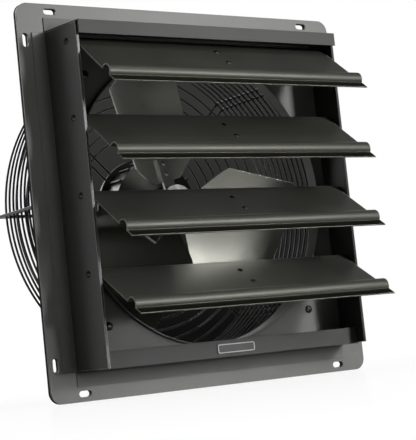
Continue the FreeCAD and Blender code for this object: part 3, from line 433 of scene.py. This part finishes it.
# Edge width that takes in a whole hem's front face, where the left panel's painted highlight lies
PANEL_EDGE = 0.0015
HOUSING_PAINTS = {
    "top_rail": RAIL_PAINT,
    "bottom_rail": RAIL_PAINT,
    # The left panel's pale, full-strength edge tint is a painted highlight along its hem.
    "left_side_panel": powder_coat("left_panel_paint_with_painted_highlight", tint(55, 55, 54), tint(62, 62, 60),
                                   roughness=0.36, peel=0.08, rub_and_highlight_tint=tint(205, 205, 200), rub_and_highlight=1.0,
                                   edge_width=PANEL_EDGE, flange=PLATE_TINTS),
    # The right panel's tints are a darker copy of the left panel's: painted shade on its inner face.
    "right_side_panel": powder_coat("right_panel_paint_with_painted_shade", tint(44, 44, 43), tint(50, 50, 48),
                                    roughness=0.42, peel=0.08, rub_and_highlight_tint=tint(90, 90, 88), gloss=0.2, rub_and_highlight=0.4,
                                    edge_width=PANEL_EDGE, flange=PLATE_TINTS),
}
# Turns of the paddles' grain and openings of the louvres at rest, in degrees
PADDLE_TURNS = {"paddle_1": -17.0, "paddle_2": 103.0, "paddle_3": 223.0}
PADDLE_GRAIN = 24
LOUVRE_OPENINGS = {"louvre_1": 51.0, "louvre_2": 52.0, "louvre_3": 55.0, "louvre_4": 58.0}
# Edge width of the louvres, which shows their painted highlight along the lips' edges
LOUVRE_EDGE = 0.0012
LOUVRE_GLOSS = (0.92, 0.92, 0.8, 1)


def paint_nodes():
    """Gives every CAD node the finish of its slot. Housing, paddles and louvres have their own finishes."""
    for row in frame["record"]["subparts"]:
        node, slot = row["node"], row["material_slot"]
        if node in PADDLE_TURNS:
            turn = math.radians(PADDLE_TURNS[node])
            finish = sheet_metal(f"satin_{node}", tint(172, 172, 164), tint(222, 222, 212), 0.24, turn,
                                 PADDLE_GRAIN)
        elif node in LOUVRE_OPENINGS:
            opening = math.radians(LOUVRE_OPENINGS[node])
            lip = (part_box(node)[0], Vector((0, math.sin(opening), math.cos(opening))))
            # Louvre paint: darker than the plate's as painted shade, with painted shade on the lip and a
            # painted highlight on its edge.
            finish = powder_coat(f"dark_{node}_paint", tint(49, 49, 45), tint(56, 56, 52), roughness=0.42,
                                 peel=0.0, rub_and_highlight_tint=tint(200, 200, 192), rub_and_highlight=1.0, edge_width=LOUVRE_EDGE,
                                 lip=lip, gloss_tint=LOUVRE_GLOSS)
        elif node in HOUSING_PAINTS:
            finish = HOUSING_PAINTS[node]
        else:
            finish = FINISHES[slot]
        set_finish(frame["nodes"][node], finish)


def set_finish(obj, finish):
    obj.data.materials.clear()
    obj.data.materials.append(finish)


# Added pieces, each modelled once where it repeats
DIAGONALS = [math.radians(angle) for angle in (45, 135, 225, 315)]
FACE_FRONT = Matrix.Rotation(math.radians(90), 4, "X")
FACE_REAR = Matrix.Rotation(math.radians(-90), 4, "X")
UP = Vector((0, 0, 1))
FACING = 0.99
ACROSS = 0.1


def select_only(*pieces):
    bpy.ops.object.select_all(action="DESELECT")
    for piece in pieces:
        piece.select_set(True)
        bpy.context.view_layer.objects.active = piece


def begin(name, add_primitive, **settings):
    """Adds the primitive that a piece starts from and opens it in edit mode."""
    select_only()
    add_primitive(**settings)
    piece = bpy.context.object
    piece.name = name
    piece.data.name = name
    bpy.ops.object.transform_apply(location=True, rotation=True, scale=True)
    bpy.ops.object.mode_set(mode="EDIT")
    bpy.ops.mesh.select_all(action="SELECT")
    return piece


def pick_faces(piece, test):
    bpy.ops.mesh.select_mode(type="FACE")
    bpy.ops.mesh.select_all(action="DESELECT")
    mesh = bmesh.from_edit_mesh(piece.data)
    for face in mesh.faces:
        if test(face):
            face.select_set(True)
    bmesh.update_edit_mesh(piece.data)


def faces_along(direction):
    return lambda face: face.normal.dot(direction) > FACING


def extrude(*move):
    bpy.ops.mesh.extrude_region_move(TRANSFORM_OT_translate={"value": move})


def leave_edit(piece, smooth_angle=35):
    bpy.ops.mesh.select_all(action="SELECT")
    bpy.ops.mesh.normals_make_consistent(inside=False)
    bpy.ops.object.mode_set(mode="OBJECT")
    select_only(piece)
    bpy.ops.object.shade_smooth_by_angle(angle=math.radians(smooth_angle))


def cut_away(piece, cutter):
    cut = piece.modifiers.new("cut", "BOOLEAN")
    cut.operation = "DIFFERENCE"
    cut.solver = "EXACT"
    cut.object = cutter
    select_only(piece)
    bpy.ops.object.modifier_apply(modifier=cut.name)
    bpy.data.objects.remove(cutter)


def join(name, pieces):
    """Joins pieces into one whose place lies in its mesh."""
    select_only(*pieces)
    bpy.ops.object.join()
    whole = bpy.context.object
    bpy.ops.object.transform_apply(location=True, rotation=True, scale=True)
    whole.name = name
    whole.data.name = name
    return whole


def copy_to(piece, places):
    """Puts a copy of a piece, with its own mesh, at each place and joins the copies."""
    copies = []
    for place in places:
        copy = piece.copy()
        copy.data = piece.data.copy()
        copy.matrix_world = place
        scene.collection.objects.link(copy)
        copies.append(copy)
    name = piece.name
    bpy.data.objects.remove(piece)
    return join(name, copies)


def hand_over(piece, body, slot, finish, *nodes):
    """Gives a finished piece its body and finish, and hides the nodes that it stands for. Its slot is not
    used.
    """
    set_finish(piece, finish)
    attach(piece, body)
    if nodes:
        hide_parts(*nodes)


def round_the_axis(radius, depth, angle, side=0.0):
    """A point at a radius from the fan's axis, moved sideways along the turn."""
    outwards = Vector((math.cos(angle), 0, math.sin(angle)))
    sideways = Vector((-math.sin(angle), 0, math.cos(angle)))
    return outwards * radius + sideways * side + Vector((0, depth, 0))


# Cross-recessed screws of the guard and the motor
DOME_RINGS = 6
DOME_SWEEP = math.radians(75)
RIM_SHARE = 0.35
TIP_CHAMFER = 0.2
RECESS_LENGTH = 1.15
RECESS_WIDTH = 0.26
RECESS_DEPTH = 0.9
RECESS_TAPER = 0.6


def cross_screw(name, head_radius, head_height, shank_radius, shank_length):
    """Pan-head screw, seated at height 0 with its head upwards."""
    rim = head_height * RIM_SHARE
    piece = begin(name, bpy.ops.mesh.primitive_cylinder_add, vertices=32, radius=head_radius, depth=rim,
                  location=(0, 0, rim / 2))
    pick_faces(piece, faces_along(UP))
    angle_step = DOME_SWEEP / DOME_RINGS
    for ring in range(DOME_RINGS):
        narrow = math.cos(ring * angle_step) - math.cos((ring + 1) * angle_step)
        rise = math.sin((ring + 1) * angle_step) - math.sin(ring * angle_step)
        bpy.ops.mesh.inset(thickness=head_radius * narrow, depth=(head_height - rim) * rise)
    pick_faces(piece, faces_along(-UP))
    bpy.ops.mesh.inset(thickness=head_radius - shank_radius, depth=0)
    extrude(0, 0, -shank_length)
    bpy.ops.mesh.inset(thickness=shank_radius * TIP_CHAMFER, depth=shank_radius * TIP_CHAMFER)
    leave_edit(piece)
    for turn in (0, 90):
        cut_away(piece, recess_bar(head_radius, head_height, math.radians(turn)))
    return piece


def recess_bar(head_radius, head_height, turn):
    """One arm of a cross recess, narrower at its bottom."""
    size = (head_radius * RECESS_LENGTH, head_radius * RECESS_WIDTH, head_height * RECESS_DEPTH)
    bar = begin("recess_bar", bpy.ops.mesh.primitive_cube_add, size=1, location=(0, 0, head_height),
                rotation=(0, 0, turn), scale=size)
    pick_faces(bar, faces_along(-UP))
    bpy.ops.transform.resize(value=(RECESS_TAPER, RECESS_TAPER, 1))
    leave_edit(bar)
    return bar


GUARD_SCREW_CIRCLE = 0.1905
GUARD_SCREW_HEAD = 0.0026
MOTOR_SCREW_CIRCLE = 0.038
MOTOR_SCREW_HEAD = 0.0015


def add_guard_screws():
    screw = cross_screw("guard_cross_screws", head_radius=0.0046, head_height=GUARD_SCREW_HEAD,
                        shank_radius=0.0025, shank_length=0.008)
    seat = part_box("guard_screws")[0].y + GUARD_SCREW_HEAD
    places = [round_the_axis(GUARD_SCREW_CIRCLE, seat, angle) for angle in DIAGONALS]
    screws = copy_to(screw, [Matrix.Translation(place) @ FACE_FRONT for place in places])
    hand_over(screws, "frame", "dark_screws", FINISHES["dark_screws"], "guard_screws")


def add_motor_screws():
    screw = cross_screw("motor_cross_screws", head_radius=0.0032, head_height=MOTOR_SCREW_HEAD,
                        shank_radius=0.0018, shank_length=0.0065)
    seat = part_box("motor_screws")[1].y - MOTOR_SCREW_HEAD
    places = [round_the_axis(MOTOR_SCREW_CIRCLE, seat, angle) for angle in DIAGONALS]
    screws = copy_to(screw, [Matrix.Translation(place) @ FACE_REAR for place in places])
    hand_over(screws, "frame", "dark_screws", FINISHES["dark_screws"], "motor_screws")


# Spot welds where the guard's spokes cross its rings
WELD_RADIUS = 0.0018
WELD_SHAPE = (1.15, 0.9, 0.55)
CRATER_FACING = 0.93
CRATER_STEP = WELD_RADIUS * 0.12
SPOKE_SIDE = 0.005
SIDE_RINGS = 12
SIDE_RING_RADIUS = 0.1812
SIDE_RING_PITCH = 0.009
REAR_RING_DEPTH = 0.115
BACK_RINGS = 7
BACK_RING_PITCH = 0.013
GUARD_RADIUS = 0.180


def add_weld_beads():
    bead = begin("guard_weld_beads", bpy.ops.mesh.primitive_ico_sphere_add, subdivisions=2,
                 radius=WELD_RADIUS)
    bpy.ops.transform.resize(value=WELD_SHAPE)
    pick_faces(bead, lambda face: face.normal.z > CRATER_FACING)
    bpy.ops.mesh.inset(thickness=CRATER_STEP, depth=-CRATER_STEP)
    leave_edit(bead, smooth_angle=60)
    places = []
    for angle in DIAGONALS:
        outwards = Matrix.Rotation(math.radians(90) - angle, 4, "Y")
        for side in (-SPOKE_SIDE, SPOKE_SIDE):
            for ring in range(SIDE_RINGS):
                depth = REAR_RING_DEPTH - SIDE_RING_PITCH * ring
                spot = round_the_axis(SIDE_RING_RADIUS, depth, angle, side)
                places.append(Matrix.Translation(spot) @ outwards)
            for ring in range(1, BACK_RINGS + 1):
                radius = math.sqrt((GUARD_RADIUS - BACK_RING_PITCH * ring) ** 2 - SPOKE_SIDE ** 2)
                spot = round_the_axis(radius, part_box("guard_back_rings")[1].y, angle, side)
                places.append(Matrix.Translation(spot) @ FACE_REAR)
    hand_over(copy_to(bead, places), "frame", "guard_black", FINISHES["guard_black"])


# Cable gland: hexagon seat and a ridged cap with an open mouth, in shares of its radius and length
GLAND_RIDGES = 24
SEAT_SHARE = 0.36
SEAT_IN_CAP = 0.9
SEAT_BEVEL = 0.07
CAP_RADIUS = 0.95
RIDGE_GAP = 0.02
RIDGE_DEPTH = 0.06
MOUTH_RIM = 0.2
MOUTH_SLOPE = 0.15
MOUTH_DEPTH = 0.1
BORE_SHARE = 0.7


def add_gland():
    low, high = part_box("cable_gland")
    middle = (low + high) / 2
    radius = (high.x - low.x) / 2
    length = high.z - low.z
    seat_height = length * SEAT_SHARE
    cap_height = length - seat_height * SEAT_IN_CAP
    seat = begin("gland_seat", bpy.ops.mesh.primitive_cylinder_add, vertices=6, radius=radius,
                 depth=seat_height, location=(0, middle.y, high.z - seat_height / 2))
    bpy.ops.mesh.bevel(offset=radius * SEAT_BEVEL, segments=2, affect="EDGES")
    leave_edit(seat)
    cap = begin("gland_cap", bpy.ops.mesh.primitive_cylinder_add, vertices=GLAND_RIDGES * 2,
                radius=radius * CAP_RADIUS, depth=cap_height, location=(0, middle.y, low.z + cap_height / 2))
    pick_faces(cap, lambda face: abs(face.normal.z) < ACROSS and face.index % 2 == 0)
    bpy.ops.mesh.inset(thickness=radius * RIDGE_GAP, depth=-radius * RIDGE_DEPTH, use_individual=True)
    pick_faces(cap, faces_along(-UP))
    bpy.ops.mesh.inset(thickness=radius * MOUTH_RIM, depth=0)
    bpy.ops.mesh.inset(thickness=radius * MOUTH_SLOPE, depth=-radius * MOUTH_DEPTH)
    extrude(0, 0, cap_height * BORE_SHARE)
    leave_edit(cap)
    gland = join("ridged_cable_gland", [seat, cap])
    hand_over(gland, "frame", "gland_plastic", FINISHES["gland_plastic"], "cable_gland")


# Bright border of the blank badge
BADGE_MARGIN = 0.0006
BADGE_CORNER = 0.0022
BADGE_BORDER = 0.0011
BADGE_RISE = 0.0004
BADGE_SINK = 0.0001


def add_badge_border():
    low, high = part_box("badge_plate")
    middle = (low + high) / 2
    size = (high.x - low.x - BADGE_MARGIN * 2, 1, high.z - low.z - BADGE_MARGIN * 2)
    border = begin("badge_border", bpy.ops.mesh.primitive_plane_add, size=1,
                   location=(middle.x, low.y + BADGE_SINK, middle.z), rotation=(math.radians(90), 0, 0))
    bpy.ops.transform.resize(value=size)
    bpy.ops.mesh.bevel(offset=BADGE_CORNER, segments=5, affect="VERTICES")
    bpy.ops.mesh.select_all(action="SELECT")
    bpy.ops.mesh.inset(thickness=BADGE_BORDER, depth=0)
    bpy.ops.mesh.delete(type="FACE")
    bpy.ops.mesh.select_all(action="SELECT")
    extrude(0, -BADGE_RISE - BADGE_SINK, 0)
    leave_edit(border)
    finish = moulded_plastic("pale_badge_border", tint(176, 176, 174), tint(206, 206, 204), roughness=0.4)
    hand_over(border, "frame", "badge_blank", finish)


# Studio
FLOOR_HEIGHT = -0.2103
FLOOR_SIZE = 14
FLOOR_SHADOW = 0.06
FLOOR_MIRROR = 0.06
FILL_LIGHT = 0.05
DIM_STUDIO = tint(70, 70, 70)
DIM_FLOOR = tint(15, 15, 15)
DIM_BACKDROP = tint(52, 52, 51)
PALE_FLOOR = (0.85, 0.85, 0.85, 1)
BOUNCE_FLOOR = (0.3, 0.3, 0.3, 1)


def for_lenses(n, plain, shown, mirrored):
    """Gives the camera the shown shader and gloss the mirrored one. The plain one lights the object."""
    lens = n.node("ShaderNodeLightPath", output="Is Camera Ray")
    through = n.node("ShaderNodeLightPath", output="Is Transmission Ray")
    gloss = n.node("ShaderNodeLightPath", output="Is Glossy Ray")
    seen = n.node("ShaderNodeMixShader", None, {0: lens.most(through), 1: plain, 2: shown})
    return n.node("ShaderNodeMixShader", None, {0: gloss, 1: seen, 2: mirrored})


def through_film(n):
    """1 for what the camera sees through the film in the opening."""
    return n.node("ShaderNodeLightPath", output="Transparent Depth").least(1)


def set_world():
    """White backdrop behind the fan, which gloss shows too, in a studio with a dim front and ceiling."""
    world = bpy.data.worlds.new("studio_world")
    world.use_nodes = True
    scene.world = world
    n = Nodes(world.node_tree)
    heading = n.node("ShaderNodeTexCoord", output="Generated")
    behind = n.ramp(n.node("ShaderNodeSeparateXYZ", None, {0: heading}, "Y"), 0.2, 0.55)
    height = n.node("ShaderNodeSeparateXYZ", None, {0: heading}, "Z")
    ceiling = n.ramp(height, 0.34, 0.72)
    studio = n.mix(behind * (1 - ceiling), DIM_STUDIO, WHITE)
    plain = n.node("ShaderNodeBackground", None, {"Color": WHITE, "Strength": FILL_LIGHT})
    dim = n.mix(n.ramp(height, 0.02, 0.16), DIM_FLOOR, DIM_BACKDROP)
    backdrop = n.mix(through_film(n), WHITE, dim)
    shown = n.node("ShaderNodeBackground", None, {"Color": backdrop, "Strength": 1.0})
    mirrored = n.node("ShaderNodeBackground", None, {"Color": studio, "Strength": 1.0})
    n.surface(for_lenses(n, plain, shown, mirrored), "ShaderNodeOutputWorld")


def set_floor():
    """Pale floor with the object's shadow and faint mirror image.
    In gloss it shows a painted pool of white light round the fan.
    """
    bpy.ops.object.select_all(action="DESELECT")
    bpy.ops.mesh.primitive_plane_add(size=FLOOR_SIZE, location=(0, 0, FLOOR_HEIGHT))
    floor = bpy.context.object
    floor.name = "studio_floor"
    material, n = new_finish("pale_floor")
    lit = n.node("ShaderNodeBsdfDiffuse", None, {"Color": PALE_FLOOR})
    bounce = n.node("ShaderNodeBsdfDiffuse", None, {"Color": BOUNCE_FLOOR})
    mirror = n.node("ShaderNodeBsdfGlossy", None, {"Color": WHITE, "Roughness": 0.1})
    glow = n.node("ShaderNodeEmission", None, {"Color": WHITE, "Strength": 1.0})
    distance = n.node("ShaderNodeVectorMath", {"operation": "LENGTH"}, {0: n.place()}, "Value")
    near = 1 - n.ramp(distance, 0.2, 0.9)
    seen = n.node("ShaderNodeMixShader", None, {0: near * FLOOR_SHADOW, 1: glow, 2: lit})
    seen = n.node("ShaderNodeMixShader", None, {0: near * FLOOR_MIRROR, 1: seen, 2: mirror})
    dim = n.node("ShaderNodeEmission", None, {"Color": DIM_FLOOR, "Strength": 1.0})
    seen = n.node("ShaderNodeMixShader", None, {0: through_film(n), 1: seen, 2: dim})
    # Painted pool of light seen only in gloss: a glowing white ring round the fan that dims farther out.
    far = n.ramp(distance, 0.33, 0.48)
    front = n.mix(n.ramp(distance * 0.5, 0.4, 0.7), WHITE, DIM_STUDIO)
    pool = n.node("ShaderNodeEmission", None, {"Color": front, "Strength": 1.0})
    mirrored = n.node("ShaderNodeMixShader", None, {0: far, 1: bounce, 2: pool})
    n.surface(for_lenses(n, bounce, seen, mirrored))
    set_finish(floor, material)


FILM_RADIUS = 0.1642


def set_film():
    """Clear film in the opening. The backdrop shows dim through it from the front, and white from behind."""
    bpy.ops.object.select_all(action="DESELECT")
    bpy.ops.mesh.primitive_circle_add(vertices=96, radius=FILM_RADIUS, fill_type="NGON",
                                      rotation=(math.radians(90), 0, 0))
    film = bpy.context.object
    film.name = "studio_film"
    material, n = new_finish("clear_film")
    clear = n.node("ShaderNodeBsdfTransparent")
    glass = n.node("ShaderNodeBsdfRefraction", None, {"IOR": 1.0, "Roughness": 0.0})
    behind = n.node("ShaderNodeNewGeometry", output="Backfacing")
    n.surface(n.node("ShaderNodeMixShader", None, {0: behind, 1: clear, 2: glass}))
    set_finish(film, material)
    film.visible_shadow = False
    film.visible_diffuse = False
    film.visible_glossy = False


def add_lamp(name, place, aim, width, height, power, spread=180):
    lamp = bpy.data.lights.new(name, "AREA")
    lamp.spread = math.radians(spread)
    lamp.shape = "RECTANGLE"
    lamp.size = width
    lamp.size_y = height
    lamp.energy = power
    obj = bpy.data.objects.new(name, lamp)
    away = (Vector(place) - Vector(aim)).normalized()
    obj.matrix_world = Matrix.Translation(place) @ away.to_track_quat("Z", "Y").to_matrix().to_4x4()
    scene.collection.objects.link(obj)
    return obj


def light_only(lamp, *nodes):
    """Lets a lamp light the named nodes and nothing else."""
    lit = bpy.data.collections.new(f"lit_by_{lamp.name}")
    for node in nodes:
        lit.objects.link(frame["nodes"][node])
    lamp.light_linking.receiver_collection = lit


def set_lamps():
    add_lamp("front_softbox", place=(0.80, -1.42, 0.40), aim=(0, 0, 0), width=0.22, height=0.3, power=16)
    add_lamp("high_softbox", place=(0.98, -1.18, 0.72), aim=(0, 0, 0), width=0.7, height=0.25, power=5)
    add_lamp("low_softbox", place=(0.62, -1.30, -0.12), aim=(0.10, -0.20, -0.36), width=0.4, height=0.14,
             power=0.4, spread=32)
    blade_lamp = add_lamp("blade_softbox", place=(0.62, -1.20, -0.20), aim=(0.05, 0.06, -0.06), width=0.25,
                          height=0.25, power=15)
    light_only(blade_lamp, *PADDLE_TURNS, "fan_spider", "hub_washer", "hub_nut", "motor_shaft")
    add_lamp("rear_softbox", place=(-0.7, 1.4, 0.9), aim=(0, 0.06, 0), width=1.0, height=0.6, power=14)
    add_lamp("fill_softbox", place=(-1.5, -0.9, 0.2), aim=(0, 0, 0), width=0.9, height=0.9, power=2.2)
    add_lamp("top_softbox", place=(0.1, -0.75, 1.0), aim=(0, -0.05, 0), width=1.2, height=0.4, power=4)


set_camera()
paint_nodes()
add_guard_screws()
add_motor_screws()
add_weld_beads()
add_gland()
add_badge_border()
set_world()
set_floor()
set_film()
set_lamps()
